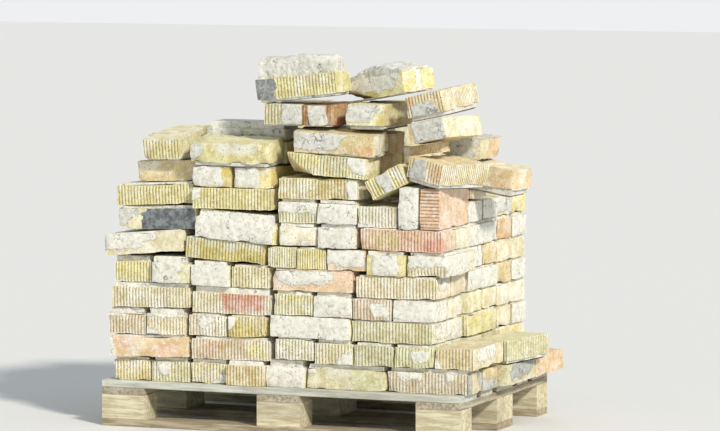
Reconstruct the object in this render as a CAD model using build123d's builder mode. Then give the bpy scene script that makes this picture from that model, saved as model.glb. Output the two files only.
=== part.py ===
from build123d import *
from dataclasses import dataclass
import math
import os

# A pallet of reclaimed solid bricks: a four-way wooden pallet, nine blocks and
# eleven boards, under a dry stack of old bricks that still carry their mortar.
# X runs along the pallet's long side, Y to its back, Z up from the floor, and
# the origin is at the middle of the pallet, on the floor. Millimetres.

# Brick: two widths and the joint between them make up one length
brick_length = 265.0
header_joint = 11.0
brick_width = (brick_length - header_joint) / 2
brick_height = 66.0
narrow_width = 97.0
bat_length = 205.0
short_length = 175.0
split_height = 30.0
split_depth = 62.0
end_crust = 10.0
arris = 3.0

# Mortar left on a brick's upper face, which carries the next course
mortar_inset = 14.0
seat_gap = 0.3
thinnest_mortar = 0.2
mean_mortar = 11.0

# Stack
stack_setback = 4.0
row_joint = 3.0
front_row_slack = 24.0
least_room = 0.5

# Corners broken off, as lengths along the front, into the stack and upwards
small_break = (90.0, 60.0, 52.0)
large_break = (150.0, 108.0, 40.0)

# Thick mortar on two of the top bricks: place along the brick and height there
mortar_crown = ((7, 69), (90, 60), (125, 66), (190, 58), (250, 50), (259, 44))
mortar_dome = ((24, 6), (60, 14), (110, 28), (165, 35), (205, 30), (235, 16), (255, 17), (279, 10))
crown_inset = 6.0

# Letting a brick down on to the pile: how far below the highest brick to look,
# the room at which it lies, and the number of steps at most
reach = 150.0
lying = 0.05
most_steps = 80

# Pallet
pallet_length = 1200.0
pallet_depth = 800.0
board_thickness = 22.0
block_height = 78.0
wide_board = 145.0
narrow_board = 100.0
deck_gap_outer = 41.25
board_arris = 2.0

# What a brick of each kind measures across the front, into the stack and upwards
size_of = {
    "stretcher": (brick_length, brick_width, brick_height),
    "header": (brick_width, brick_length, brick_height),
    "narrow": (narrow_width, brick_length, brick_height),
    "bat": (bat_length, brick_width, brick_height),
    "on_edge": (brick_height, brick_length, brick_width),
    "short": (brick_width, short_length, brick_height),
    "split": (brick_width, split_depth, split_height),
    "slab": (brick_length, brick_width, split_height),
    "crusted": (brick_length + 2 * end_crust, brick_width + end_crust, brick_height),
}

bottom_top = board_thickness
block_top = bottom_top + block_height
stringer_top = block_top + board_thickness
deck_top = stringer_top + board_thickness

os.makedirs("parts", exist_ok=True)


def export(part, name):
    """Label a finished piece and write it as its own STEP file."""
    part.label = name
    export_step(part, f"parts/{name}.step")


# Pallet boards and blocks

def timber(length, width, height, corner):
    """One sawn board or block with its long edges eased, lower corner at `corner`."""
    plane = Plane(corner)
    with BuildPart() as piece:
        with BuildSketch(plane):
            Rectangle(length, width, align=(Align.MIN, Align.MIN))
        extrude(amount=height)
        longest = Axis.X if length > width else Axis.Y
        chamfer(piece.edges().filter_by(longest), length=board_arris)
    return piece.part


pallet_left = -pallet_length / 2
pallet_front = -pallet_depth / 2
columns_x = (pallet_left, -wide_board / 2, -pallet_left - wide_board)
bottom_rows = (
    (pallet_front, narrow_board),
    (-wide_board / 2, wide_board),
    (-pallet_front - narrow_board, narrow_board),
)
second_deck_y = pallet_front + wide_board + deck_gap_outer
deck_rows = (
    (pallet_front, wide_board),
    (second_deck_y, narrow_board),
    (-wide_board / 2, wide_board),
    (-second_deck_y - narrow_board, narrow_board),
    (-pallet_front - wide_board, wide_board),
)

for number, (y, width) in enumerate(bottom_rows, 1):
    board = timber(pallet_length, width, board_thickness, (pallet_left, y, 0))
    export(board, f"bottom_board_{number}")

row_names = ("front", "middle", "back")
column_names = ("left", "centre", "right")
for row_name, (y, width) in zip(row_names, bottom_rows):
    for column_name, x in zip(column_names, columns_x):
        block = timber(wide_board, width, block_height, (x, y, bottom_top))
        export(block, f"block_{row_name}_{column_name}")

for column_name, x in zip(column_names, columns_x):
    board = timber(wide_board, pallet_depth, board_thickness, (x, pallet_front, block_top))
    export(board, f"stringer_board_{column_name}")

for number, (y, width) in enumerate(deck_rows, 1):
    board = timber(pallet_length, width, board_thickness, (pallet_left, y, stringer_top))
    export(board, f"deck_board_{number}")


# Stack of bricks. It stands in four columns from the left, each one brick length
# wide, and in three rows from the front, each one brick length deep. Where a
# column's bricks lie as stretchers in one course they lie as headers in the next.

first_edge = -575.0
column_joints = (10.0, 18.0, 2.0)
column_left = [first_edge]
for joint in column_joints:
    column_left.append(column_left[-1] + brick_length + joint)
left_column, second_column, third_column, right_column = column_left
stack_right = right_column + brick_length

# Old mortar under each course, at the left and the right end of each column
mortar_under = (
    ((0, 0), (0, 0), (0, 0), (0, 0)),
    ((7, 14), (11, 13), (21, 18), (12, 13)),
    ((8, 5), (7, 7), (6, 5), (8, 5)),
    ((17, 18), (7, 1), (2, 3), (3, 6)),
    ((27, 11), (18, 24), (8, 11), (2, 2)),
    ((2, 36), (21, 1), (3, 4), (4, 6)),
    ((16, 1), (1, 1), (1, 4), (6, 1)),
    ((7, 13), (7, 25), (8, 6), (14, 9)),
    ((8, 3), (8, 6), (9, 7), (6, 6)),
    ((7, 4), (22, 22), (17, 1), (6, 6)),
    ((8, 8), (8, 8), (2, 2), (9, 9)),
)

# The front row, course by course from the left: the kind of brick, the joint
# before it, and how far its face stands behind the row's front plane
front_row = (
    (("header", 4, 18), ("header", 5, 20), ("header", 3, 22), ("header", 3, 0),
     ("header", 3, 20), ("stretcher", 5, 22), ("stretcher", 3, 24)),
    (("stretcher", 0, 4), ("stretcher", 10, 12), ("header", 18, 10), ("header", 4, 14),
     ("header", 6, 10), ("header", 5, 12), ("header", 4, 16)),
    (("header", -6, 8), ("header", 6, 4), ("header", 12, 14), ("header", 8, 10),
     ("stretcher", 16, 8), ("stretcher", 3, 12)),
    (("stretcher", 6, 6), ("stretcher", 6, 14), ("header", 14, 10), ("header", 4, 12),
     ("header", 4, 8), ("header", 6, 12)),
    (("header", 8, 20), ("header", 9, 0), ("header", 6, 6), ("header", 6, 16),
     ("stretcher", 14, 10), ("stretcher", 12, 8)),
    (("stretcher", -15, 4), ("stretcher", 6, 8), ("narrow", 9, 10), ("narrow", 3, 12),
     ("header", 5, 14), ("header", 4, 4), ("header", 6, 8)),
    (("stretcher", 22, 30), ("stretcher", 4, 4), ("header", 12, 12), ("header", 6, 8),
     ("stretcher", 16, 4)),
    (("stretcher", 14, 30), ("stretcher", 4, 4), ("header", 20, 16), ("header", 6, 8),
     ("header", 6, 12), ("on_edge", 8, 4), ("on_edge", 3, 4)),
    (("bat", 72, 60), ("header", 3, 14), ("header", 10, 18), ("stretcher", 23, 14)),
)

# The middle and the back row, course by course: S is a column of stretchers, H
# one of headers, E a header past the last column, and a dot is an empty column
middle_row = ("HSHSE", "HHSS", "SSHH", "HHSS", "SSHH", "HHSS", "SSSH", "HHHS", "SSS.", "HHS.", "..H.")
back_row = ("SHSHE", "SSHH", "HSHS", "SHSH", "HSHS", "SHSH", "HHSS", "SSHS", "HSH.", ".HS.")

small_joint = 4.0


@dataclass
class Laid:
    """A brick laid in a row: left edge, setback, underside at its two ends."""
    kind: str
    x: float
    setback: float
    left: float
    right: float
    mortar: float = 0.0

    @property
    def across(self):
        return size_of[self.kind][0]

    @property
    def tall(self):
        return size_of[self.kind][2]

    @property
    def slope(self):
        return (self.right - self.left) / self.across

    def underside(self, x):
        return self.left + self.slope * (x - self.x)

    def top(self, x):
        return self.underside(x) + self.tall * math.hypot(1, self.slope)


def lines_of(course):
    """Underside heights at the left and the right end of each column in a course."""
    lines = [(deck_top, deck_top)] * len(column_left)
    for mortar in mortar_under[1:course + 1]:
        lines = [
            (left + brick_height + mortar[c][0], right + brick_height + mortar[c][1])
            for c, (left, right) in enumerate(lines)
        ]
    return lines


def laid_brick(kind, x, setback, course):
    """A brick at the height and slope that its column gives it in a course."""
    across = size_of[kind][0]
    middle = x + across / 2
    column = max([c for c, left in enumerate(column_left) if middle >= left], default=0)
    left, right = lines_of(course)[column]
    slope = (right - left) / brick_length
    if across > brick_width:
        start = left + slope * (x - column_left[column])
        return Laid(kind, x, setback, start, start + slope * across)
    level = left if middle < column_left[column] + brick_length / 2 else right
    return Laid(kind, x, setback, level, level)


def front_bricks(course):
    """The front row's bricks of a course, from its list of kinds and joints."""
    bricks = []
    x = first_edge
    for kind, joint, setback in front_row[course]:
        x += joint
        bricks.append(laid_brick(kind, x, setback, course))
        x += size_of[kind][0]
    return bricks


def pattern_bricks(pattern, course):
    """A middle or back row's bricks of a course, from its pattern of columns."""
    bricks = []
    past_last = column_left[-1] + brick_length + small_joint
    for mark, x in zip(pattern, column_left + [past_last]):
        if mark == "S":
            bricks.append(laid_brick("stretcher", x, 0, course))
        if mark in "HE":
            bricks.append(laid_brick("header", x, 0, course))
        if mark == "H":
            bricks.append(laid_brick("header", x + brick_length - brick_width, 0, course))
    return bricks


def room_between(lower, upper, inset=0.0):
    """Least upright room between two bricks of a row, or None where they miss."""
    shift = -lower.tall * lower.slope
    ends = (
        max(lower.x + shift + inset, upper.x),
        min(lower.x + lower.across + shift - inset, upper.x + upper.across),
    )
    if ends[0] >= ends[1]:
        return None
    return min(upper.underside(end) - lower.top(end) for end in ends)


def least_room_of(pairs, inset=0.0):
    """Least of the rooms between pairs of bricks, or None where no pair meets."""
    rooms = [room_between(lower, upper, inset) for lower, upper in pairs]
    return min([room for room in rooms if room is not None], default=None)


def settle(courses):
    """Seat every course of a row on the mortar of the course under it."""
    for below, bricks in zip(courses, courses[1:]):
        for brick in bricks:
            room = least_room_of([(lower, brick) for lower in below])
            lift = least_room - room if room is not None and room < least_room else 0.0
            brick.left += lift
            brick.right += lift
        for lower in below:
            room = least_room_of([(lower, brick) for brick in bricks], mortar_inset)
            lower.mortar = room - seat_gap if room is not None else 0.0
        for brick in bricks:
            slacks = []
            for lower in below:
                for inset, mortar in ((mortar_inset, lower.mortar), (0.0, 0.0)):
                    room = room_between(lower, brick, inset)
                    if room is not None:
                        slacks.append(room - mortar)
            drop = max(0.0, min(slacks) - seat_gap) if slacks else 0.0
            brick.left -= drop
            brick.right -= drop
    return courses


def bare_brick(kind):
    """One brick without mortar, its lower left front corner at the origin."""
    across, deep, tall = size_of[kind]
    with BuildPart() as brick:
        with BuildSketch():
            Rectangle(across, deep, align=(Align.MIN, Align.MIN))
        extrude(amount=tall)
        long_way = Axis.Y if kind == "on_edge" else Axis.Z
        chamfer(brick.edges().filter_by(long_way), length=arris)
    return brick.part


bare_bricks = {kind: bare_brick(kind) for kind in size_of}


def make_brick(kind, mortar_above, mortar_below=0.0):
    """One brick, lower left front corner at the origin, with mortar on its beds."""
    across, deep, tall = size_of[kind]
    beds = ((tall, mortar_above), (0, -mortar_below))
    with BuildPart() as brick:
        add(bare_bricks[kind])
        for height, thickness in beds:
            if abs(thickness) < thinnest_mortar:
                continue
            with BuildSketch(Plane.XY.offset(height)):
                with Locations((across / 2, deep / 2)):
                    Rectangle(across - 2 * mortar_inset, deep - 2 * mortar_inset)
            extrude(amount=thickness)
    return brick.part


def break_corner(piece, lengths):
    """The piece without its lower left front corner, cut off along one plane."""
    slope = tuple(1 / length for length in lengths)
    return split(piece, bisect_by=Plane((lengths[0], 0, 0), z_dir=slope), keep=Keep.TOP)


def put_mortar(piece, kind, profile):
    """The piece with thick mortar on its upper face, of the profile given along it."""
    across, deep, tall = size_of[kind]
    floor = [(profile[-1][0], 0), (profile[0][0], 0)]
    points = [(x, tall + height) for x, height in list(profile) + floor]
    with BuildPart() as mortar:
        with BuildSketch(Plane.XZ.offset(-crown_inset)):
            with BuildLine():
                Polyline(*points, close=True)
            make_face()
        extrude(amount=-(deep - 2 * crown_inset))
    return piece + mortar.part


stack_front = pallet_front + stack_setback
row_pitch = brick_length + row_joint
second_start = brick_length - brick_width
middle_front = stack_front + row_pitch + front_row_slack
row_front = (stack_front, middle_front, middle_front + row_pitch)
rows = (
    settle([front_bricks(course) for course in range(len(front_row))]),
    settle([pattern_bricks(pattern, course) for course, pattern in enumerate(middle_row)]),
    settle([pattern_bricks(pattern, course) for course, pattern in enumerate(back_row)]),
)
stack = []
for course in range(max(len(courses) for courses in rows)):
    solids = []
    for row_y, courses in zip(row_front, rows):
        for brick in courses[course] if course < len(courses) else []:
            place = Location((brick.x, row_y + brick.setback, brick.left))
            tilt = Location((0, 0, 0), (0, -math.degrees(math.atan(brick.slope)), 0))
            piece = make_brick(brick.kind, brick.mortar)
            solids.append(place * tilt * piece)
            if brick.kind == "stretcher":
                behind = max(brick_width + row_joint, second_start - brick.setback)
                solids.append(place * Location((0, behind, 0)) * tilt * piece)
    stack.extend(solids)
    export(Compound(children=solids), f"brick_course_{course + 1}")


# The top of the pile, brick by brick from below. Each is let down at its own
# place, turn, lean and tilt until it lies on what is already there.

@dataclass
class Loose:
    """A brick laid by hand: place of its lower left front corner, angles, mortar."""
    name: str
    kind: str
    x: float
    y: float
    turn: float = 0.0
    lean: float = 0.0
    tilt: float = 0.0
    under: float = 0.0
    over: float = 0.0
    bed: float | None = None

    def made(self):
        """The brick at its place and angles, its lower corner still at no height."""
        place = Location((self.x, self.y, 0), (self.lean, -self.tilt, self.turn))
        if self.bed is None:
            return place * self.trimmed(make_brick(self.kind, self.over, self.under))
        to_level = Location((0, 0, 0), (0, self.bed, 0))
        low = (to_level * place * bare_bricks[self.kind]).bounding_box().min.Z
        piece = to_level * place * self.trimmed(make_brick(self.kind, self.over, brick_height))
        piece = split(piece, bisect_by=Plane.XY.offset(low - self.under), keep=Keep.TOP)
        return to_level.inverse() * piece

    def trimmed(self, piece):
        """The brick with its broken corner and its thick mortar, where it has them."""
        if self.name == "tenth_course_broken_brick":
            return break_corner(piece, small_break)
        if self.name == "crowned_brick":
            return put_mortar(piece, self.kind, mortar_crown)
        if self.name == "broken_brick":
            return put_mortar(break_corner(piece, large_break), self.kind, mortar_dome)
        return piece


second_front = stack_front + second_start
loose_bricks = (
    Loose("ledge_brick", "header", stack_right + 3, middle_front + 32, turn=-10, under=9.7),
    Loose("leaning_brick", "header", right_column + 62, stack_front + 1, tilt=27),
    Loose("slanting_brick", "header", right_column + 168, stack_front + 6, -13, 0, -11, 13.2),
    Loose("prop_brick", "slab", right_column + 5, middle_front + 30),
    Loose("sliding_brick", "stretcher", right_column + 152, middle_front + 30, -8, 3, -8.5, 22),
    Loose("rounded_brick", "short", right_column + 178, middle_front, tilt=-7, under=0.5),
    Loose("split_brick", "split", right_column + 143, stack_front + 60, turn=-4, tilt=8),
    Loose("tenth_course_left_brick", "header", left_column + 108, stack_front + 22,
          lean=6.5, tilt=2, under=1, bed=0),
    Loose("tenth_course_middle_brick", "stretcher", second_column + 4, stack_front,
          lean=8, tilt=-0.5, under=8, bed=0),
    Loose("tenth_course_middle_rear_brick", "stretcher", second_column + 4, second_front, under=5),
    Loose("tenth_course_broken_brick", "stretcher", third_column + 39, stack_front + 4,
          tilt=-3.45, under=0.5),
    Loose("tenth_course_right_rear_brick", "stretcher", third_column + 39, second_front,
          tilt=-3.45, under=0.5),
    Loose("eleventh_course_brick", "stretcher", third_column + 66, stack_front + 6,
          lean=6, tilt=-2.4, under=0.5, bed=-3.45),
    Loose("eleventh_course_rear_brick", "stretcher", third_column + 66, second_front,
          tilt=-2.4, under=1),
    Loose("low_brick", "slab", second_column + 2, second_front, under=10, over=21),
    Loose("right_pile_lower_brick", "header", right_column + 183, stack_front + 4, -5, -3, 12),
    Loose("right_pile_upper_brick", "header", right_column + 176, stack_front + 4, -4, 2, 12, 14),
    Loose("top_brick_left", "header", third_column - 40, stack_front + 20, under=2.5),
    Loose("top_brick_narrow", "narrow", third_column + 88, stack_front + 20, under=2),
    Loose("top_brick_middle", "header", third_column + 232, stack_front + 24, under=13),
    Loose("crowned_brick", "stretcher", third_column - 56, stack_front + 10, tilt=6.4, under=8.5),
    Loose("broken_brick", "crusted", right_column - 106, stack_front + 162, -24.3, 0, 10, 3),
)


def meet(first, second):
    """Whether two bounding boxes lie over one another, seen from above."""
    return (first.min.X < second.max.X and second.min.X < first.max.X
            and first.min.Y < second.max.Y and second.min.Y < first.max.Y)


def top_of(solid):
    """Height of a solid's highest point."""
    return solid.bounding_box().max.Z


def let_down(piece, pile):
    """Lower a piece on to a pile until a seat gap is left between them."""
    box = piece.bounding_box()
    below = [solid for solid in pile if meet(box, solid.bounding_box())]
    highest = max([top_of(solid) for solid in below], default=deck_top)
    near = [solid for solid in below if top_of(solid) > highest - reach]
    piece = Location((0, 0, highest + seat_gap - box.min.Z)) * piece
    for _ in range(most_steps):
        room = min([piece.distance_to(solid) for solid in near], default=0.0) - seat_gap
        if room < lying:
            break
        piece = Location((0, 0, -room)) * piece
    return piece


for loose in loose_bricks:
    piece = let_down(loose.made(), stack)
    stack.append(piece)
    export(piece, loose.name)
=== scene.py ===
# %% [markdown]
# # A pallet of old bricks
#
# Reclaimed bricks are stacked dry on a wooden pallet. Each one was combed with
# upright ribs when it was made, and each one has lost and kept something since:
# worn arrises, chipped corners, and crusts of the mortar that it once stood in.
# The solids already say where every brick lies. Blender gives each of them its
# own surface, from a few modelled bricks that are copied, worn and coloured.

# %% The frame
import itertools
import math
import bpy
import numpy as np
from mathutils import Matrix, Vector


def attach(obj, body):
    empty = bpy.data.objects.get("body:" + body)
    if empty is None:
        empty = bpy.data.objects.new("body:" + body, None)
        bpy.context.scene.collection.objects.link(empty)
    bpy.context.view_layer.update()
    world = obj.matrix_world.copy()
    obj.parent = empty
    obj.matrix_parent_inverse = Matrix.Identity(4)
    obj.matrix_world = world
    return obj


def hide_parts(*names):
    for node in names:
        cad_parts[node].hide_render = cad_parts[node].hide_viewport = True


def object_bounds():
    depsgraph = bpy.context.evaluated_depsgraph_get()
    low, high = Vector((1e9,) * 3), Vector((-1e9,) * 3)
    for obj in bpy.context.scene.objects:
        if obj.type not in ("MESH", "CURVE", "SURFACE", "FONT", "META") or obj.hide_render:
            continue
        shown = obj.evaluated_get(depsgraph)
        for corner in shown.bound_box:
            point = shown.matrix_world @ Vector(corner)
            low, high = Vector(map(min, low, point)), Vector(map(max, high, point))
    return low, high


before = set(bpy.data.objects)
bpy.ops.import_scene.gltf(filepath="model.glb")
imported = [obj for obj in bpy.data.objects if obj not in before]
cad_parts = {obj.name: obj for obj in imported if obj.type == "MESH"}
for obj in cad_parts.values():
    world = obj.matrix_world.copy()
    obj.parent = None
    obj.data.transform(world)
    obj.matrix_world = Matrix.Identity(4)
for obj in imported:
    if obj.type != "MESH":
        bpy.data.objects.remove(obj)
link = bpy.context.scene.collection.objects.link
cad_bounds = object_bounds()
cad_low, cad_high = np.min(cad_bounds, axis=0), np.max(cad_bounds, axis=0)
print("solids loaded:", len(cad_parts), "in a box of", np.round(cad_high - cad_low, 3))

# %% [markdown]
# ## Taking a course apart
#
# A course is one solid for each brick, kept together in one mesh of loose
# triangles. A copy of it is merged and separated into its loose parts, so that
# each brick can be read by itself.

# %% Loose parts
merge_reach = 0.00002


def deselect():
    bpy.ops.object.select_all(action="DESELECT")


def pick(obj):
    deselect()
    obj.select_set(True)
    bpy.context.view_layer.objects.active = obj


def in_edit_mode(obj, mode, action):
    """Do something in edit mode to the vertices, edges or faces selected before."""
    pick(obj)
    bpy.context.tool_settings.mesh_select_mode = [mode == m for m in ("VERT", "EDGE", "FACE")]
    bpy.ops.object.mode_set(mode="EDIT")
    action()
    bpy.ops.object.mode_set(mode="OBJECT")


def loose_parts(node):
    """Copies of a node's solids, each as an object of its own."""
    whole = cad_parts[node].copy()
    whole.data = whole.data.copy()
    whole.parent = None
    for key in list(whole.keys()):
        del whole[key]
    link(whole)
    in_edit_mode(whole, "VERT", lambda: (
        bpy.ops.mesh.select_all(action="SELECT"),
        bpy.ops.mesh.remove_doubles(threshold=merge_reach),
        bpy.ops.mesh.separate(type="LOOSE"),
    ))
    return list(bpy.context.selected_objects)


def read_array(items, name, width):
    values = np.zeros(len(items) * width)
    items.foreach_get(name, values)
    return values.reshape(-1, width)


brick_nodes = sorted(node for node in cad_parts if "brick" in node)
print("nodes with bricks:", len(brick_nodes))

# %% [markdown]
# ## Reading where each brick lies
#
# The big flat faces of a part show how the brick is turned, and its points show
# how far it reaches, so nothing about the stack has to be typed in again. What
# stands out from a bed is mortar: a bed of it is read as four corner heights,
# and a tall lump as an outline. A large face that is square to nothing is where
# a corner has broken off.

# %% How a brick is turned
facing_cosine = 0.75
facing_step = 0.011


def widest_direction(normals, areas, goal):
    """The facing with the most area among the faces that look about along goal."""
    normals = normals * np.sign(normals @ goal)[:, None]
    near = normals @ goal > facing_cosine
    keys = np.round(normals, 2)
    best = None
    for key in np.unique(keys[near], axis=0):
        same = near & (np.abs(keys - key).max(1) < facing_step)
        if best is None or areas[same].sum() > best[0]:
            best = (areas[same].sum(), (normals[same] * areas[same, None]).sum(0))
    return best[1] / np.linalg.norm(best[1])


print("a facing slants by up to", round(math.degrees(math.acos(facing_cosine))), "degrees")

# %% Reading the bricks
# How near two places are one, how high mortar stands out, how many places along
# a crest a plain bed has, and how slanted and how large a broken face is
same_place = 0.0005
mortar_rise = 0.001
plain_crest = 3
broken_slant = 0.15
broken_area = 0.0008


class LaidBrick:
    """Where one brick lies: its centre, its three directions and its size along them."""

    def __init__(self, node, points, normals, areas):
        self.node = node
        up = widest_direction(normals, areas, np.array((0, 0, 1.0)))
        back = widest_direction(normals, areas, np.array((0, 1.0, 0)))
        right = np.cross(back, up)
        right /= np.linalg.norm(right)
        back = np.cross(up, right)
        self.axes = np.array((right, back, up))
        local = points @ self.axes.T
        self.read_box(local)
        self.read_mortar(local)
        self.read_break(points, normals, areas)

    def read_box(self, local):
        """The brick without its mortar, whose beds are read at its ends."""
        low, high = local.min(0), local.max(0)
        ends = (local[:, 1] < low[1] + same_place) | (local[:, 1] > high[1] - same_place)
        low[2], high[2] = local[ends, 2].min(), local[ends, 2].max()
        self.low, self.high, self.size = low, high, high - low
        self.middle = (low + high) / 2
        self.centre = self.middle @ self.axes

    def read_mortar(self, local):
        """The mortar on both beds, and its outline along the brick."""
        self.mortar_under = self.corner_heights(self.low[2] - local[:, 2], local)
        self.mortar_over = self.corner_heights(local[:, 2] - self.high[2], local)
        raised = (local[:, 2] > self.high[2] + mortar_rise) & (local[:, 1] < self.middle[1])
        crest = np.column_stack((local[raised, 0] - self.low[0], local[raised, 2] - self.high[2]))
        self.crest = crest[np.argsort(crest[:, 0])]
        self.crowned = len(np.unique(np.round(self.crest[:, 0], 3))) > plain_crest

    def corner_heights(self, rise, local):
        """How far the mortar on a bed reaches at its four corners."""
        heights = np.zeros((2, 2))
        for a, b in itertools.product((0, 1), repeat=2):
            there = ((local[:, 0] > self.middle[0]) == a) & ((local[:, 1] > self.middle[1]) == b)
            heights[a, b] = rise[there].max()
        return heights

    def read_break(self, points, normals, areas):
        """The plane of a broken corner, where the brick has one."""
        self.break_facing = None
        slanted = (np.abs(normals @ self.axes.T) > broken_slant).all(1) & (areas > broken_area)
        if slanted.any():
            self.break_facing = normals[slanted][0]
            reach = points @ self.break_facing
            self.break_reach = reach[np.abs(reach - reach.max()) < same_place].mean()


bricks = []
for node in brick_nodes:
    for part in loose_parts(node):
        mesh = part.data
        bricks.append(LaidBrick(
            node,
            read_array(mesh.vertices, "co", 3),
            read_array(mesh.polygons, "normal", 3),
            read_array(mesh.polygons, "area", 1)[:, 0],
        ))
        bpy.data.objects.remove(part)
        bpy.data.meshes.remove(mesh)
print("bricks found:", len(bricks))

# %% [markdown]
# ## Which bricks can be seen
#
# Most of the stack is inside. A brick is given full detail only where daylight
# reaches it. Points a little outside each face tell: where another brick, taken
# a little larger than it is, holds a point, the face is covered there.

# %% Faces open to view
deck_top = 0.144
outside_reach = 0.05
brick_growth = 0.03
neighbour_reach = 0.45
point_spread = (-0.38, 0.0, 0.38)
least_open = 0.08


def open_share(brick, others):
    """The share of points just outside a brick's faces that are out in the open."""
    marks = []
    for axis, side in itertools.product(range(3), (-0.5, 0.5)):
        rest = [a for a in range(3) if a != axis]
        for a, b in itertools.product(point_spread, repeat=2):
            place = np.zeros(3)
            place[axis] = brick.size[axis] * side + math.copysign(outside_reach, side)
            place[rest[0]] = brick.size[rest[0]] * a
            place[rest[1]] = brick.size[rest[1]] * b
            marks.append(brick.centre + place @ brick.axes)
    marks = np.array(marks)
    held = marks[:, 2] < deck_top
    for other in others:
        apart = np.linalg.norm(other.centre - brick.centre)
        if other is brick or apart > neighbour_reach:
            continue
        local = (marks - other.centre) @ other.axes.T
        held |= (np.abs(local) <= other.size / 2 + brick_growth).all(1)
    return 1 - held.mean()


for brick in bricks:
    brick.seen = open_share(brick, bricks) > least_open
print("bricks in view:", sum(brick.seen for brick in bricks))

# %% [markdown]
# ## Modelling one brick
#
# A brick of this kind was pressed out as a column and cut with a wire, so its
# beds are flat and its four upright faces carry the ribs of the die. It starts
# as a cube at the brick's size. Without its two beds it is a plain band, and
# the band's edges can be subdivided one direction at a time: three cuts to a
# rib, so that two of them hold the rib's flat crest and the third becomes the
# groove. The beds are closed again at the end. A second brick is modelled
# without grooves, for faces that are worn smooth or caked over, and a third with
# few points, for the inside of the stack.

# %% Selecting by place
touching = 0.0001
straight = 0.99


def select_where(mesh, kind, test):
    """Select the vertices, edges or faces of an object's mesh that pass a test."""
    for group in (mesh.vertices, mesh.edges, mesh.polygons):
        group.foreach_set("select", [False] * len(group))
    items = getattr(mesh, kind)
    items.foreach_set("select", [bool(test(item)) for item in items])


def edge_runs_along(mesh, axis):
    def test(edge):
        a, b = (mesh.vertices[v].co for v in edge.vertices)
        step = [abs(x - y) for x, y in zip(a, b)]
        return step[axis] > straight * sum(step)
    return test


def subdivide_along(obj, cuts):
    """Cut an object's edges along its length, its width and its height in turn."""
    for axis, number in enumerate(cuts):
        select_where(obj.data, "edges", edge_runs_along(obj.data, axis))
        in_edit_mode(obj, "EDGE", lambda n=number: bpy.ops.mesh.subdivide(number_cuts=n))

# %% Modelled bricks
brick_size = (0.265, 0.127, 0.066)
brick_length, brick_width, brick_height = brick_size
ribs_long, ribs_short = 25, 12
cuts_to_a_rib = 3
groove_depth = 0.0022
plain_corner = 0.001
rim = 0.0028


def model_brick(name, cuts, depth):
    """One flat brick at the origin: cuts along its length, width and height."""
    deselect()
    bpy.ops.mesh.primitive_cube_add(size=1)
    brick = bpy.context.object
    brick.name = name
    brick.scale = brick_size
    bpy.ops.object.transform_apply(scale=True)
    mesh = brick.data
    select_where(mesh, "polygons", lambda face: abs(face.normal.z) > 0.9)
    in_edit_mode(brick, "FACE", lambda: bpy.ops.mesh.delete(type="ONLY_FACE"))
    subdivide_along(brick, cuts)
    if depth:
        cut_grooves(brick, depth)
    gather_rows(mesh)
    for side in (-1, 1):
        bed = side * brick_height / 2
        select_where(mesh, "vertices", lambda v: abs(v.co.z - bed) < touching)
        in_edit_mode(brick, "VERT", lambda: bpy.ops.mesh.edge_face_add())
    in_edit_mode(brick, "FACE", lambda: (
        bpy.ops.mesh.select_all(action="SELECT"),
        bpy.ops.mesh.normals_make_consistent(inside=False),
    ))
    print(name, "faces:", len(mesh.polygons))
    return brick


def cut_grooves(brick, depth):
    """Push every third upright line of each side inwards."""
    for axis, ribs in ((0, ribs_long), (1, ribs_short)):
        across = 1 - axis
        length, half = brick_size[axis], brick_size[across] / 2
        for side in (-1, 1):
            def in_groove(v):
                line = round((v.co[axis] / length + 0.5) * ribs * cuts_to_a_rib)
                on_side = abs(v.co[across] - side * half) < touching
                inside = abs(v.co[axis]) < length / 2 - plain_corner
                return on_side and inside and line % cuts_to_a_rib == cuts_to_a_rib - 1
            select_where(brick.data, "vertices", in_groove)
            inwards = [0, 0, 0]
            inwards[across] = -side * depth
            in_edit_mode(brick, "VERT", lambda: bpy.ops.transform.translate(value=inwards))


def gather_rows(mesh):
    """Draw the outermost row of points close to each bed, for a tight worn arris."""
    points = read_array(mesh.vertices, "co", 3)
    levels = np.unique(np.round(points[:, 2], 5))
    for level in (levels[1], levels[-2]):
        near = np.abs(points[:, 2] - level) < touching
        points[near, 2] = math.copysign(brick_height / 2 - rim, level)
    mesh.vertices.foreach_set("co", points.ravel())


rib_cuts = (cuts_to_a_rib * ribs_long - 1, cuts_to_a_rib * ribs_short - 1, 6)
ribbed = model_brick("ribbed_pattern", rib_cuts, groove_depth)
smooth = model_brick("smooth_pattern", (35, 17, 7), 0)
inner = model_brick("inner_pattern", (2, 1, 2), 0)

# %% [markdown]
# ## Soft random numbers
#
# No two old bricks are alike. What makes them differ is drawn from numbers that
# change softly from place to place. A cell's corners get their numbers from
# their whole-number places, mixed bit by bit, and a point between them gets a
# smooth blend, so the same place always gives the same number.

# %% Noise
seed_shift = np.array((3.17, 5.71, 7.93))
corner_mix = np.array((73856093, 19349663, 83492791))
second_mix = 1274126177
sixteen_bits = 0xFFFF


def roughly(points, size, seed):
    """Random numbers from -1 to 1 that change smoothly over about `size` metres."""
    place = points / size + seed * seed_shift
    cell = np.floor(place).astype(np.int64)
    t = place - cell
    t = t * t * (3 - 2 * t)
    total = np.zeros(len(points))
    for corner in itertools.product((0, 1), repeat=3):
        mixed = np.bitwise_xor.reduce((cell + np.array(corner)) * corner_mix, axis=1)
        mixed = (mixed ^ (mixed >> 13)) * second_mix
        value = ((mixed ^ (mixed >> 16)) & sixteen_bits) / (sixteen_bits / 2) - 1
        total += value * np.prod(np.where(corner, t, 1 - t), axis=1)
    return total


def varied(points, change, seed):
    """A length that varies softly: given by its mean, its change and the change's size."""
    mean, most, size = change
    return mean + most * roughly(points, size, seed)


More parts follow.
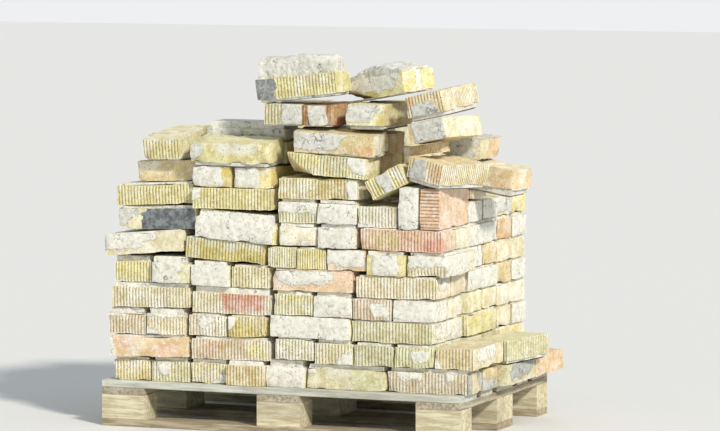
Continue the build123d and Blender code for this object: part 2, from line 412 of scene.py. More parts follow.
def layered(points, noise, coarse_seed, fine_seed):
    """A coarse noise with a fine one on it, each given by its depth and its size."""
    (coarse, coarse_size), (fine, fine_size) = noise
    return coarse * roughly(points, coarse_size, coarse_seed) \
        + fine * roughly(points, fine_size, fine_seed)

# %% [markdown]
# ## Wear and crust
#
# Each copy's points are moved by these numbers: a little everywhere, more along
# the arrises, and most at a few chipped places. Where mortar still clings, the
# points move outwards instead.

# %% Wear
# Metres. Three together are a mean, how much it changes and the change's size.
face_band = 0.004
face_loss = (0.0006, 0.0007, 0.03)
arris_loss = (0.0012, 0.0012, 0.016)
crust_depth = (0.0022, 0.0016, 0.022)
arris_width, corner_width = 0.006, 0.022
chip_depth, chip_start, chip_size = 0.0100, 0.15, 0.045
corner_depth, corner_size = 0.006, 0.09
crust_grain, crust_grain_size = 0.0009, 0.009


def outwards(points, size):
    """Which way is out of the brick at each point of a brick of this size."""
    near = np.abs(points) > size / 2 - face_band
    out = np.sign(points) * near
    length = np.linalg.norm(out, axis=1)
    return out / np.maximum(length, 1)[:, None]


def worn(points, crust, seed):
    """The points of one brick after years of use, with its mortar on it."""
    size = np.array(brick_size)
    out = outwards(points, size)
    away = np.sort(size / 2 - np.abs(points), axis=1)
    arris = np.exp(-(np.maximum(away[:, 1], 0) / arris_width) ** 2)
    corner = np.exp(-(np.maximum(away[:, 2], 0) / corner_width) ** 2) * arris
    chip = np.maximum(roughly(points, chip_size, seed) - chip_start, 0)
    grain = roughly(points, crust_grain_size, seed + 13)
    moved = -varied(points, face_loss, seed + 7)
    moved -= arris * (varied(points, arris_loss, seed + 3) + chip_depth * chip)
    moved -= corner * corner_depth * np.maximum(roughly(points, corner_size, seed + 5), 0)
    moved += crust * (varied(points, crust_depth, seed + 11) + crust_grain * grain)
    return points + out * moved[:, None]


deepest_chip = round(chip_depth * (1 - chip_start) * 1000, 1)
print("arris worn by", arris_loss[0] * 1000, "mm, chips up to", deepest_chip, "mm deeper")

# %% [markdown]
# ## What each brick looks like
#
# The bricks in front and along the right-hand side are described one by one, and
# so are the loose ones on top. A look is a colour, how the face was made and the
# marks on it, and where it matters a colour and marks for the right-hand face.
# The rest of the stack is drawn from the same colours at random.

# %% Clays
clays = {
    "cream": (0.91, 0.86, 0.62),
    "pale": (0.92, 0.89, 0.74),
    "yellow": (0.90, 0.83, 0.45),
    "strong": (0.78, 0.66, 0.26),
    "green": (0.76, 0.74, 0.50),
    "tan": (0.84, 0.72, 0.43),
    "peach": (0.90, 0.70, 0.46),
    "orange": (0.82, 0.55, 0.30),
    "salmon": (0.90, 0.62, 0.46),
    "rose": (0.86, 0.47, 0.36),
    "pink": (0.87, 0.76, 0.60),
    "brown": (0.50, 0.27, 0.11),
    "red": (0.60, 0.20, 0.10),
    "chipped": (0.74, 0.60, 0.32),
}
print("colours of clay:", len(clays))

# %% The front row
# A mark is given by where it starts and ends across the face and up the face, as
# shares of the face. A number after that says how light the mortar is, from
# black (0) to white (1); the darkest numbers, 0.25 and below, paint shadow and
# shade onto three bricks. A clay's name there makes the mark a change of colour
# instead of mortar. The bricks of a course follow each other from the left.
all_over = (0.0, 1.0, 0.0, 1.0)
caked = ("pale", "smooth", (all_over,))
front_looks = {
    1: (
        ("yellow", "ribs", ((0.3, 0.8, 0.5, 1.0, "cream"),)),
        ("cream", "ribs", ((0.1, 0.5, 0.4, 1.0),)),
        ("cream", "ribs", ((0.65, 1.0, 0.0, 0.5),)),
        ("tan", "ribs", ()),
        caked,
        ("green", "smooth", ((0.0, 0.5, 0.0, 0.6, "cream"), (0.0, 0.15, 0.6, 1.0))),
        ("pink", "ribs", ((0.1, 0.45, 0.5, 1.0), (0.7, 0.85, 0.4, 1.0)),
         "tan", ((0.0, 0.35, 0.0, 1.0, 0.45), (0.6, 1.0, 0.2, 1.0, 0.5))),
    ),
    2: (
        ("peach", "smooth", (
            (0.0, 0.05, 0.0, 1.0), (0.05, 0.32, 0.5, 1.0, "salmon"),
            (0.62, 0.85, 0.15, 0.7, "salmon"))),
        ("pink", "ribs", ((0.08, 0.5, 0.2, 0.9, "orange"), (0.7, 0.95, 0.2, 0.8, "yellow"))),
        ("pale", "ribs", ((0.0, 0.6, 0.6, 1.0, "cream"),)),
        ("cream", "ribs", ((0.5, 1.0, 0.0, 0.6),)),
        ("green", "ribs", ()),
        ("green", "ribs", ((0.4, 0.9, 0.3, 0.9),)),
        ("tan", "ribs", ((0.0, 0.2, 0.0, 0.5),), "cream", ((0.1, 0.8, 0.3, 1.0),)),
    ),
    3: (
        ("pink", "ribs", ((0.0, 0.4, 0.7, 1.0),)),
        ("cream", "ribs", ((0.0, 1.0, 0.8, 1.0), (0.0, 0.4, 0.0, 0.4))),
        ("pale", "ribs", ((0.2, 0.7, 0.5, 1.0),)),
        ("strong", "ribs", ((0.0, 0.25, 0.4, 1.0),)),
        caked,
        ("green", "ribs", (), "pale", ((0.2, 1.0, 0.1, 1.0),)),
    ),
    4: (
        ("cream", "ribs", ((0.5, 0.8, 0.2, 0.7, "pale"),)),
        ("cream", "ribs", ((0.36, 0.97, 0.1, 1.0, "rose"),)),
        ("cream", "ribs", ((0.3, 0.9, 0.6, 1.0, "yellow"),)),
        caked,
        ("pink", "ribs", ((0.5, 0.9, 0.2, 0.8),)),
        ("pale", "smooth", (all_over,), "pale", ((0.0, 0.5, 0.0, 1.0),)),
    ),
    5: (
        ("yellow", "ribs", ()),
        ("cream", "smooth", ((0.0, 0.82, 0.0, 1.0),)),
        caked,
        ("cream", "ribs", ()),
        ("peach", "smooth", ((0.05, 0.75, 0.25, 1.0),)),
        ("cream", "ribs", (), "cream", ((0.1, 0.9, 0.3, 1.0),)),
    ),
    6: (
        ("cream", "smooth", ((0.0, 0.7, 0.2, 1.0),)),
        ("strong", "ribs", ((0.0, 1.0, 0.7, 1.0, "green"),)),
        ("cream", "ribs", ()),
        ("yellow", "ribs", ()),
        ("peach", "smooth", ((0.0, 1.0, 0.2, 1.0),)),
        ("yellow", "smooth", ((0.15, 0.85, 0.0, 1.0),)),
        ("cream", "ribs", ((0.0, 1.0, 0.4, 1.0),), "pale", ((0.0, 0.7, 0.0, 1.0),)),
    ),
    7: (
        # This brick's dark mark from 0.3 across is painted shadow, cast by the brick beside it
        # that stands further out
        ("cream", "smooth", ((0.0, 0.3, 0.2, 1.0, 0.8), (0.3, 1.0, 0.0, 1.0, 0.1))),
        ("yellow", "smooth", (all_over,)),
        ("pale", "smooth", ((0.5, 0.9, 0.0, 0.5),)),
        caked,
        ("salmon", "ribs", ((0.7, 1.0, 0.0, 0.8, "rose"), (0.1, 0.5, 0.2, 0.9, "tan")),
         "pink", ((0.0, 0.35, 0.0, 0.8, "rose"),)),
    ),
    8: (
        ("yellow", "ribs", ()),
        ("yellow", "ribs", ((0.0, 0.1, 0.2, 1.0),)),
        ("cream", "ribs", ((0.0, 1.0, 0.4, 1.0),)),
        caked,
        ("pale", "ribs", ((0.0, 0.5, 0.0, 0.4),)),
        caked,
        ("salmon", "ribs", (), "salmon", ((0.35, 1.0, 0.0, 1.0, "pink"),)),
    ),
    9: (
        ("tan", "smooth", ((0.0, 0.35, 0.3, 1.0, "cream"),)),
        ("strong", "smooth", ((0.0, 0.82, 0.0, 1.0),)),
        ("strong", "smooth", ((0.0, 0.7, 0.0, 1.0), (0.72, 1.0, 0.0, 1.0, "yellow"))),
        ("tan", "ribs", ((0.86, 1.0, 0.0, 1.0), (0.0, 0.6, 0.4, 1.0, "cream"))),
    ),
}

print("bricks described in front:", sum(len(looks) for looks in front_looks.values()))

# %% The right-hand side
# The bricks behind the front row at the right end, from front to back.
white_side = ("pale", "smooth", (), "pale", (all_over,))
side_looks = {
    1: (
        ("tan", "smooth", (), "tan", ((0.0, 1.0, 0.0, 0.5, 0.5),)),
        ("tan", "ribs", (), "tan", ()),
        ("green", "smooth", (), "green", ((0.1, 0.9, 0.2, 1.0, 0.5),)),
        ("salmon", "smooth", (), "salmon", ((0.0, 0.5, 0.0, 0.6, "orange"),)),
    ),
    3: (white_side, ("yellow", "ribs", ()), ("cream", "smooth", ()), white_side),
    4: (("cream", "smooth", ()), ("cream", "smooth", ()), ("pale", "smooth", ()), white_side),
    5: (("pink", "smooth", ()), white_side, ("tan", "ribs", ()), white_side),
    6: (white_side, ("tan", "ribs", ()), ("cream", "smooth", ()), ("tan", "smooth", ())),
    7: (("pale", "smooth", ()), white_side, ("orange", "ribs", ()), white_side),
    8: (white_side, white_side,
        ("green", "smooth", (), "green", ((0.0, 1.0, 0.1, 1.0, 0.85),)), ("yellow", "smooth", ())),
}

print("bricks described at the side:", sum(len(looks) for looks in side_looks.values()))

# %% Bricks laid loose on top
loose_looks = {
    "tenth_course_left_brick": ("yellow", "ribs", ((0.0, 1.0, 0.8, 1.0, "pale"),)),
    "tenth_course_middle_brick": (
        "yellow", "smooth", ((0.0, 0.2, 0.1, 1.0, 0.85), (0.3, 0.9, 0.5, 1.0, "pale"))),
    "tenth_course_broken_brick": (
        "yellow", "ribs", ((0.45, 0.75, 0.3, 1.0, "green"), (0.8, 1.0, 0.2, 1.0))),
    "eleventh_course_brick": (
        "tan", "smooth", ((0.0, 0.62, 0.1, 1.0, 0.85), (0.7, 1.0, 0.0, 0.6, "orange")),
        "cream", ((0.1, 0.35, 0.0, 1.0), (0.5, 0.75, 0.0, 1.0, "green"))),
    # The low brick's dark mark in the middle is painted shadow cast by the bricks on top
    "low_brick": (
        "pale", "smooth", ((0.0, 0.4, 0.0, 1.0), (0.44, 0.66, 0.0, 0.5, 0.2),
                           (0.66, 1.0, 0.0, 1.0))),
    "leaning_brick": (
        "yellow", "ribs", ((0.34, 0.68, 0.0, 1.0, 0.85), (0.7, 1.0, 0.2, 1.0, "pale"))),
    "slanting_brick": (
        "tan", "ribs", ((0.08, 0.56, 0.0, 1.0, 0.7), (0.6, 0.95, 0.1, 0.9, "orange")),
        "cream", ((0.0, 0.6, 0.3, 1.0, "pale"), (0.6, 1.0, 0.0, 0.5, "tan"))),
    "sliding_brick": ("pale", "smooth", ((0.1, 0.7, 0.3, 1.0), (0.7, 1.0, 0.0, 1.0, "peach")),
                      "peach", ((0.2, 0.7, 0.3, 1.0, "cream"),)),
    "rounded_brick": ("cream", "smooth", ((0.0, 0.9, 0.0, 1.0, 0.9),),
                      "peach", ((0.0, 0.4, 0.0, 1.0, "cream"), (0.75, 1.0, 0.0, 0.6, "salmon"))),
    "split_brick": ("peach", "ribs", ()),
    "right_pile_lower_brick": (
        "tan", "smooth", ((0.1, 1.0, 0.0, 1.0, 0.75), (0.0, 0.12, 0.0, 1.0, "orange")),
        "cream", ((0.3, 0.8, 0.2, 0.8, "pale"),)),
    "right_pile_upper_brick": (
        "tan", "ribs", ((0.1, 0.85, 0.0, 0.66, 0.75), (0.0, 0.25, 0.3, 1.0, "orange")),
        "cream", ((0.55, 1.0, 0.0, 0.5, "pink"), (0.1, 0.5, 0.4, 1.0, "pale"))),
    "top_brick_left": ("green", "ribs", ((0.42, 1.0, 0.0, 1.0, 0.8), (0.0, 0.3, 0.5, 1.0, "tan"))),
    "top_brick_narrow": (
        "brown", "ribs", ((0.2, 0.85, 0.0, 1.0, 0.85),),
        "red", ((0.0, 0.45, 0.3, 1.0, "orange"), (0.6, 1.0, 0.2, 0.9, "brown"))),
    "top_brick_middle": (
        "cream", "smooth", ((0.0, 0.75, 0.15, 1.0, 0.85), (0.75, 1.0, 0.0, 0.5, "strong")),
        "tan", ((0.2, 0.8, 0.4, 1.0, "cream"),)),
    # The crowned brick's dark left end is mortar darkened as painted shade
    "crowned_brick": (
        "yellow", "ribs", ((0.0, 0.26, 0.0, 1.0, 0.25), (0.5, 0.9, 0.4, 1.0, "cream"))),
    "broken_brick": (
        "yellow", "smooth", ((0.0, 0.95, 0.2, 1.0, 1.0),),
        "yellow", ((0.35, 0.62, 0.0, 1.0), (0.0, 0.2, 0.4, 1.0, "cream"))),
    "ledge_brick": ("green", "ribs", ((0.2, 0.6, 0.3, 1.0, 0.4),)),
}
print("loose bricks described:", len(loose_looks))

# %% [markdown]
# ## Giving every brick its look
#
# The front row and the right-hand side are found by their places, sorted, and
# matched with the lists above. Bricks that are not on a list get a colour and
# some mortar from numbers drawn with a fixed seed, so the stack is the same
# every time.

# %% Matching bricks and looks
draw = np.random.default_rng(7)
common = ("cream", "pale", "yellow", "yellow", "strong", "green", "tan", "peach", "pink")
ribbed_share = 0.6
mortar_share = 0.55
past_top = 1.1
front_limit = -0.3
right_limit = 0.46


def random_look():
    """A colour, a face and mortar for a brick that the list leaves out."""
    face = "ribs" if draw.random() < ribbed_share else "smooth"
    patches = []
    if draw.random() < mortar_share:
        start = draw.uniform(-0.2, 0.7)
        patches.append((start, start + draw.uniform(0.2, 0.8), draw.uniform(-0.2, 0.5), past_top))
    return (str(draw.choice(common)), face, tuple(patches))


def both_faces(look):
    """A look with its side face described too: by its own words, or like the front."""
    return look if len(look) == 5 else look + (look[0], ())


for number, brick in enumerate(bricks):
    brick.seed = number * 1.7 + 0.3
    brick.look = both_faces(loose_looks.get(brick.node) or random_look())
for course, looks in front_looks.items():
    laid = [b for b in bricks if b.node == f"brick_course_{course}"]
    row = [b for b in laid if b.centre[1] - b.size[1] / 2 < front_limit]
    side = [b for b in laid if b not in row and b.centre[0] + b.size[0] / 2 > right_limit]
    row.sort(key=lambda b: b.centre[0])
    side.sort(key=lambda b: b.centre[1])
    print("course", course, "front bricks:", len(row), "described:", len(looks))
    for brick, look in (*zip(row, looks), *zip(side, side_looks.get(course, ()))):
        brick.look = both_faces(look)

# %% [markdown]
# ## Marks on a face
#
# A mark is a rounded patch whose border is pushed about by noise. Every point of
# a brick works out how far inside each mark it lies, and takes from that how
# much mortar covers it, how light the mortar is, and what colour its clay has.

# %% Marks
patch_overshoot = 0.6
patch_power = 3
patch_border = (-0.003, 0.006)
side_starts = 0.995
border_noise = ((0.009, 0.035), (0.005, 0.013))


def soft_step(value, low, high):
    t = np.clip((value - low) / (high - low), 0, 1)
    return t * t * (3 - 2 * t)


def patch_share(across, upwards, size, patch, edge):
    """How far inside a rounded patch each point is, from 0 outside to 1 inside."""
    left, right, low, high = patch[:4]
    left, low = (value - patch_overshoot if value <= 0 else value for value in (left, low))
    right, high = (value + patch_overshoot if value >= 1 else value for value in (right, high))
    u = (across - (left + right) / 2) / ((right - left) / 2)
    v = (upwards - (low + high) / 2) / ((high - low) / 2)
    within = 1 - (np.abs(u) ** patch_power + np.abs(v) ** patch_power) ** (1 / patch_power)
    radius = min((right - left) * size[0], (high - low) * size[1]) / 2
    return soft_step(within * radius + edge, *patch_border)


def marks_on(brick, placed):
    """The mortar on each placed point, how light it is, and the clay's colour."""
    local = (placed - brick.centre) @ brick.axes.T / brick.size + 0.5
    edge = layered(placed, border_noise, brick.seed + 17, 5)
    front_clay, _, front_patches, side_clay, side_patches = brick.look
    side = local[:, 0] > side_starts
    clay = np.where(side[:, None], clays[side_clay], clays[front_clay])
    crust, tone = np.zeros(len(placed)), np.ones(len(placed))
    for face, along, patches in ((~side, 0, front_patches), (side, 1, side_patches)):
        size = (brick.size[along], brick.size[2])
        for patch in patches:
            share = face * patch_share(local[:, along], local[:, 2], size, patch, edge)
            what = patch[4] if len(patch) > 4 else 1.0
            if isinstance(what, str):
                clay = clay + (np.array(clays[what]) - clay) * share[:, None]
            else:
                tone = np.where(share > crust, what, tone)
                crust = np.maximum(crust, share)
    return crust, tone, clay


print("bricks with marks:", sum(bool(b.look[2] or b.look[4]) for b in bricks))

# %% [markdown]
# ## Copying, wearing and placing the bricks
#
# The modelled brick lies along its length. A header is turned to show its end,
# and a brick on edge is tipped onto its long face. Each copy is scaled to the
# brick that it stands for, worn, and moved to its place by its points alone, so
# that its object stays at the origin. Four things stay with every point: how
# deep it lies in a groove, how much mortar covers it, how light that mortar is,
# and the colour of the clay. Mortar fills the grooves, and where a corner has
# broken off, the points beyond the break are drawn back to a rough surface.

# %% Placing bricks
groove_fill = 0.9
colour_change = 0.025
colour_tint = 0.4
break_depth = 0.003
break_noise = ((0.004, 0.022), (0.0018, 0.008))
break_border = 0.002


def turn_of(brick):
    """Which of the laid brick's directions carry the brick's length, width and height."""
    right, back, up = brick.axes
    wide, deep, tall = brick.size
    if tall > wide:
        return np.array((back, up, right)), np.array((deep, tall, wide))
    if deep > wide:
        return np.array((back, -right, up)), np.array((deep, wide, tall))
    return np.array((right, back, up)), np.array((wide, deep, tall))


def give(mesh, groove, crust, tone, clay):
    """Let every point of a mesh keep its groove, crust, tone and colour."""
    count = len(mesh.vertices)
    for name, values in (("groove", groove), ("crust", crust), ("tone", tone)):
        values = np.broadcast_to(values, count).astype(float)
        mesh.attributes.new(name, "FLOAT", "POINT").data.foreach_set("value", values)
    colour = np.ones((count, 4))
    colour[:, :3] = np.clip(clay, 0, 1)
    mesh.attributes.new("clay", "FLOAT_COLOR", "POINT").data.foreach_set("color", colour.ravel())


def copy_of(pattern, name):
    """A copy of a modelled pattern, with its own mesh, and the pattern's points."""
    copy = bpy.data.objects.new(name, pattern.data.copy())
    link(copy)
    return copy, read_array(copy.data.vertices, "co", 3)


def break_off(brick, placed):
    """Points drawn back to the brick's rough break, and how fresh each surface is."""
    surface = brick.break_reach - break_depth
    for depth, grain_size in break_noise:
        surface = surface + depth * roughly(placed, grain_size, brick.seed)
    beyond = placed @ brick.break_facing - surface
    drawn = placed - np.maximum(beyond, 0)[:, None] * brick.break_facing
    return drawn, soft_step(beyond, 0, break_border)


def place_copy(brick, pattern):
    """A worn copy of the pattern brick in a laid brick's place."""
    copy, points = copy_of(pattern, brick.node + "_copy")
    axes, size = turn_of(brick)
    stretch = size / np.array(brick_size)
    to_side = np.minimum(
        brick_length / 2 - np.abs(points[:, 0]), brick_width / 2 - np.abs(points[:, 1]))
    groove = np.clip(to_side / groove_depth, 0, 1)
    crust, tone, clay = marks_on(brick, (points * stretch) @ axes + brick.centre)
    on_bed = np.abs(points[:, 2]) > brick_height / 2 - touching
    groove[on_bed] = 0
    for values in (crust, tone, clay):
        values[on_bed] = values[on_bed].mean(0)
    if brick.seen:
        fill = (groove * groove_depth * crust * groove_fill)[:, None]
        filled = points + outwards(points, np.array((brick_length, brick_width, 1.0))) * fill
        points = worn(filled, crust, brick.seed)
    placed = (points * stretch) @ axes + brick.centre
    shade = np.random.default_rng(int(brick.seed * 10)).normal(0, colour_change, 3)
    clay = clay * (1 + shade[0]) + shade * colour_tint
    groove = groove * (1 - crust)
    if brick.break_facing is not None:
        placed, fresh = break_off(brick, placed)
        crust, groove = crust * (1 - fresh), groove * (1 - fresh)
        clay = clay + (np.array(clays["chipped"]) - clay) * fresh[:, None]
    copy.data.vertices.foreach_set("co", np.clip(placed, cad_low, cad_high).ravel())
    give(copy.data, groove, crust, tone, clay)
    return copy


placed_bricks = {}
for brick in bricks:
    outer = ribbed if brick.look[1] == "ribs" else smooth
    copy = place_copy(brick, outer if brick.seen else inner)
    placed_bricks.setdefault(brick.node, []).append(copy)
print("copies:", sum(len(v) for v in placed_bricks.values()))

# %% [markdown]
# ## Beds of old mortar
#
# Between two courses lies what is left of the mortar that once joined them. It
# is a thin cake with a ragged edge, thicker at one end where a brick leans. A
# subdivided block is copied to each bed, given its height at the four corners,
# and its outline is made ragged. Two bricks at the top carry a tall lump of
# mortar instead, whose outline along the brick is read from the solid.

# %% Mortar patterns
def model_mortar(name, cuts):
    """A unit cube of mortar at the origin, subdivided along its three directions."""
    deselect()
    bpy.ops.mesh.primitive_cube_add(size=1)
    block = bpy.context.object
    block.name = name
    subdivide_along(block, cuts)
    print(name, "faces:", len(block.data.polygons))
    return block


cake = model_mortar("mortar_cake", (23, 13, 1))
lump = model_mortar("mortar_lump", (71, 35, 13))


def place_mortar(brick, copy, shaped, tone):
    """Put the points of a mortar copy at their places, given along a brick's directions."""
    placed = np.clip(shaped @ brick.axes, cad_low, cad_high)
    copy.data.vertices.foreach_set("co", placed.ravel())
    give(copy.data, 0, 1, tone, clays["pale"])
    return copy

# %% Mortar beds
# Upper (1) and lower (-1) beds: how far the outer edge steps in, how high the
# shoulder under it stands, as a share of the bed, and how light the mortar is
bed_shapes = {1: (0.003, 0.85, 1.0), -1: (0.012, 0.7, 0.85)}
bed_inset = 0.009
bed_sunk = 0.003
ragged_edge = (0.004, 0.004, 0.024)
outermost, layer_depth, inner_layer = 0.499, 0.03, 0.1
least_mortar = 0.0005


def place_bed(brick, heights, side):
    """A ragged cake of mortar on a brick's upper (1) or lower (-1) bed."""
    step_in, shoulder, tone = bed_shapes[side]
    copy, points = copy_of(cake, "mortar")
    rim_side = (np.abs(points[:, :2]) > outermost) * np.sign(points[:, :2])
    flat = points[:, :2] * (brick.size[:2] - bed_inset)
    level = points[:, 2] * side
    spots = np.column_stack((flat, points[:, 2] * layer_depth))
    ragged = varied(spots, ragged_edge, brick.seed + side)
    ragged += np.where(level > inner_layer, step_in, 0)
    flat -= rim_side * ragged[:, None]
    a, b = points[:, 0] + 0.5, points[:, 1] + 0.5
    height = (heights[0, 0] * (1 - a) + heights[1, 0] * a) * (1 - b) \
        + (heights[0, 1] * (1 - a) + heights[1, 1] * a) * b
    layers = (level > inner_layer, level > -inner_layer)
    rise = np.select(layers, (height, height * shoulder), -bed_sunk)
    shaped = np.column_stack((flat + brick.middle[:2], brick.middle[2] + side * (
        brick.size[2] / 2 + rise)))
    return place_mortar(brick, copy, shaped, tone)

# %% [markdown]
# ## Tall lumps of mortar
#
# A lump follows its outline along the brick, is rounded off to the front, the
# back and the ends, and every point of it is pushed about in three directions.

# %% Mortar lumps
lump_inset = 0.012
rounded_front, rounded_ends = (0.30, 5), (0.12, 12)
lump_noise = ((0.0035, 0.026), (0.0018, 0.010))
edge_band, edge_inset = 0.45, 0.003
lump_sunk = 0.002
lump_tone = 0.85


def place_lump(brick):
    """The tall lump of mortar that stands on a brick, with its outline along the brick."""
    copy, points = copy_of(lump, "mortar")
    left, right = brick.crest[0, 0], brick.crest[-1, 0]
    along = left + (points[:, 0] + 0.5) * (right - left)
    tall = np.interp(along, brick.crest[:, 0], brick.crest[:, 1])
    rise = points[:, 2] + 0.5
    rounded = 1 - rounded_front[0] * np.abs(points[:, 1] * 2) ** rounded_front[1] \
        - rounded_ends[0] * np.abs(points[:, 0] * 2) ** rounded_ends[1]
    deep = brick.size[1] - lump_inset
    place = np.column_stack((along, points[:, 1] * deep, rise * tall * rounded))
    pushed = [layered(place, lump_noise, brick.seed + k, brick.seed + k + 4) for k in range(3)]
    for k in (0, 1):
        edge = np.abs(points[:, k]) > edge_band
        place[:, k] += pushed[k] - np.sign(points[:, k]) * edge * edge_inset
    place[:, 2] = np.minimum(place[:, 2] + pushed[2] * rise, tall) - lump_sunk * (1 - rise)
    place += (brick.low[0], brick.middle[1], brick.high[2])
    return place_mortar(brick, copy, place, lump_tone)


beds = 0
for brick in bricks:
    if not brick.seen:
        continue
    parts = placed_bricks[brick.node]
    if brick.crowned:
        parts.append(place_lump(brick))
        print(brick.node, "carries mortar", round(brick.crest[:, 1].max(), 3), "m high")
    elif brick.mortar_over.max() > least_mortar:
        parts.append(place_bed(brick, brick.mortar_over, 1))
        beds += 1
    if brick.mortar_under.max() > least_mortar:
        parts.append(place_bed(brick, brick.mortar_under, -1))
        beds += 1
print("mortar beds:", beds)

# %% [markdown]
# ## Helpers for materials
#
# A material is a net of small steps, and each kind of step gets a helper.

# %% Material helpers
def feed(owner, socket, value):
    """Give an input a number, a colour, a vector, or what another node puts out."""
    if isinstance(value, (int, float)):
        socket.default_value = value
    elif isinstance(value, tuple):
        socket.default_value = value + (1,) if socket.type == "RGBA" else value
    else:
        owner.node_tree.links.new(value, socket)


def add_node(owner, kind, inputs=None, **settings):
    """A new shader node with its settings, and its inputs by name or by number."""
    node = owner.node_tree.nodes.new("ShaderNode" + kind)
    for key, value in settings.items():
        setattr(node, key, value)
    for key, value in (inputs or {}).items():
        feed(owner, node.inputs[key], value)
    return node


def new_material(name):
    material = bpy.data.materials.new(name)
    material.use_nodes = True
    return material


def set_shader(m, inputs):
    """Feed the inputs of a material's own shader, by their names."""
    shader = next(n for n in m.node_tree.nodes if n.type == "BSDF_PRINCIPLED")
    for key, value in inputs.items():
        feed(m, shader.inputs[key], value)


def object_place(m):
    return add_node(m, "TexCoord").outputs["Object"]


def attribute(m, name):
    return add_node(m, "Attribute", attribute_name=name)


def noise_at(m, vector, scale, detail=4.0, roughness=0.55):
    return add_node(m, "TexNoise", {
        "Scale": scale, "Detail": detail, "Roughness": roughness, "Vector": vector,
    }).outputs["Fac"]


def sums(m, operation, a, b):
    return add_node(m, "Math", {0: a, 1: b}, operation=operation).outputs[0]


def times(m, a, b):
    return sums(m, "MULTIPLY", a, b)


def remap(m, value, low, high, to_low=0.0, to_high=1.0):
    return add_node(
        m, "MapRange", {0: value, 1: low, 2: high, 3: to_low, 4: to_high},
        interpolation_type="SMOOTHSTEP",
    ).outputs[0]


def blend_colours(m, share, a, b, mode="MIX"):
    return add_node(
        m, "Mix", {0: share, 6: a, 7: b}, data_type="RGBA", blend_type=mode,
    ).outputs[2]


def bump(m, height, strength, distance):
    return add_node(m, "Bump", {
        "Strength": strength, "Distance": distance, "Height": height,
    }).outputs["Normal"]

# %% [markdown]
# ## The brick's clay
#
# One material serves every brick, because the points carry what differs: the
# clay's colour, the grooves, the mortar and how light it is. Clay is mottled at
# the scale of a finger, clouded by a pale haze, and speckled at the scale of a
# grain. Dirt and painted shade darken the grooves in short broken marks, by how
# deep each point lies in its groove.

# %% Clay
lime_haze = (0.92, 0.91, 0.86)
dark_grain, dark_speck = (0.24, 0.19, 0.11), (0.16, 0.13, 0.08)
# The grooves' dark colour stands for dirt and for painted shade in the hollows
groove_dirt_and_shade = (0.10, 0.085, 0.045)

m = old_brick = new_material("old_brick")
where = object_place(m)
clay = attribute(m, "clay").outputs["Color"]
groove = attribute(m, "groove").outputs["Fac"]
crust = attribute(m, "crust").outputs["Fac"]
mottle = noise_at(m, where, 28, 3)
grain = noise_at(m, where, 420, 3, 0.7)
patchy = noise_at(m, where, 75, 4, 0.6)
haze = noise_at(m, where, 17, 4, 0.6)
clay_dark = blend_colours(m, 1.0, clay, (0.80, 0.75, 0.62), "MULTIPLY")
clay_pale = blend_colours(m, 0.7, clay, (0.93, 0.91, 0.82))
clay_mixed = blend_colours(m, remap(m, mottle, 0.35, 0.68), clay_dark, clay)
clay_mixed = blend_colours(m, remap(m, patchy, 0.50, 0.70, 0, 0.8), clay_mixed, clay_pale)
clay_mixed = blend_colours(m, remap(m, haze, 0.50, 0.68, 0, 0.45), clay_mixed, lime_haze)
clay_mixed = blend_colours(m, remap(m, grain, 0.32, 0.45, 0.7, 0), clay_mixed, dark_grain)
specks = remap(m, noise_at(m, where, 230, 2, 0.5), 0.30, 0.37, 0.85, 0)
clay_mixed = blend_colours(m, specks, clay_mixed, dark_speck)
# Dirt and painted shade: the grooves darken by how deep a point lies in them
broken = remap(m, noise_at(m, where, 150, 2), 0.34, 0.54, 0.3, 1)
dirt_and_shade = times(m, sums(m, "POWER", groove, 1.8), broken)
clay_dirt_and_shade = blend_colours(m, times(m, dirt_and_shade, 0.97), clay_mixed, groove_dirt_and_shade)
print("nodes for the clay:", len(m.node_tree.nodes))

# %% [markdown]
# ## The brick's mortar
#
# Mortar is paler and cooler than clay, pitted, and crossed by a few cracks. Some
# of it has a green tinge, and some is dark, which the tone says: stained mortar,
# and on a few bricks painted shadow and shade. Its border is broken up by noise
# so that it never follows the mesh.

# %% Mortar
grey_lime, white_lime = (0.64, 0.61, 0.52), (0.86, 0.84, 0.76)
green_tinge = (0.66, 0.64, 0.50)
# The dark mortar colours: stain on greyer mortar, and painted shadow and shade on the few bricks
# whose marks are darkest
black_stain_and_shadow, blue_stain_and_shadow = (0.060, 0.072, 0.080), (0.20, 0.24, 0.27)
pit_colour, crack_colour = (0.20, 0.18, 0.15), (0.17, 0.15, 0.12)

edge = sums(m, "ADD", crust, times(m, sums(m, "SUBTRACT", patchy, 0.5), 1.5))
edge = sums(m, "ADD", edge, times(m, sums(m, "SUBTRACT", grain, 0.5), 0.5))
covered = remap(m, edge, 0.42, 0.62)
lime = noise_at(m, where, 64, 6, 0.7)
mortar = blend_colours(m, remap(m, lime, 0.32, 0.54), grey_lime, white_lime)
moss = remap(m, noise_at(m, where, 33, 3), 0.50, 0.66, 0, 0.5)
mortar = blend_colours(m, moss, mortar, green_tinge)
stain_and_shadow = blend_colours(m, remap(m, lime, 0.42, 0.60), black_stain_and_shadow, blue_stain_and_shadow)
mortar = blend_colours(m, attribute(m, "tone").outputs["Fac"], stain_and_shadow, mortar)
pits = remap(m, noise_at(m, where, 200, 2, 0.5), 0.28, 0.35, 0.85, 0)
mortar = blend_colours(m, pits, mortar, pit_colour)
waves = add_node(m, "TexNoise", {"Scale": 30, "Vector": where}).outputs["Color"]
bent = add_node(m, "Mix", {0: 0.07, 4: where, 5: waves}, data_type="VECTOR").outputs[1]
cells = add_node(m, "TexVoronoi", {"Scale": 14, "Vector": bent}, feature="DISTANCE_TO_EDGE")
cracks = remap(m, cells.outputs["Distance"], 0.004, 0.022, 0.75, 0)
cracks = times(m, cracks, remap(m, noise_at(m, where, 21, 2), 0.52, 0.60))
mortar = blend_colours(m, cracks, mortar, crack_colour)
print("nodes with the mortar:", len(m.node_tree.nodes))

# %% [markdown]
# ## The brick's finish
#
# The same noises that colour the surface raise and sink it a little, so that a
# pit is both dark and deep. Old brick is matt all over.

